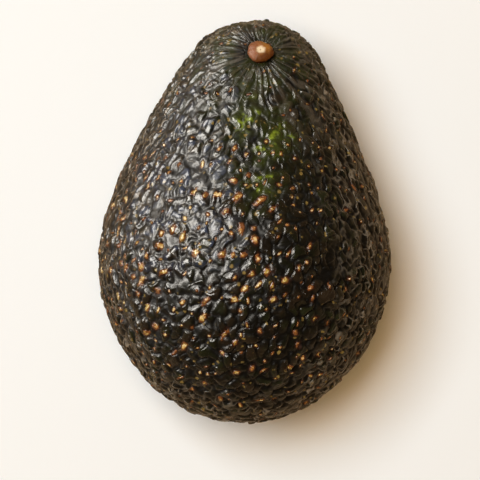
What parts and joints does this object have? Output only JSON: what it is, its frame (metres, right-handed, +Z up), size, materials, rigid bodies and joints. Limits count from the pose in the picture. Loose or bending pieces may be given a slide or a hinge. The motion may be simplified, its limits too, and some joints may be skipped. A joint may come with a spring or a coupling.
{
  "type": "avocado",
  "caption": "Pear-shaped ripe avocado lying on its side, with dark pebbled skin, folds round the stem end and a woody stem button.",
  "frame": {"origin": "middle of the fruit's bounding box in x and y, at the height of the flat spot it rests on, z = 0", "axes": "+Y along the fruit's longest extent towards the stem end, +Z up from the resting spot, +X to the right when seen from above with the stem end away from the viewer"},
  "size_m": [0.07, 0.0958, 0.0671],
  "materials": {
    "skin": "waxy, half-glossy pebbled skin, near-black brown green with small corky specks",
    "stem": "dry, matte, orange brown, paler at the scar"
  },
  "bodies": {
    "root": {"fruit": "skin", "stem_button": "stem"}
  },
  "joints": []
}
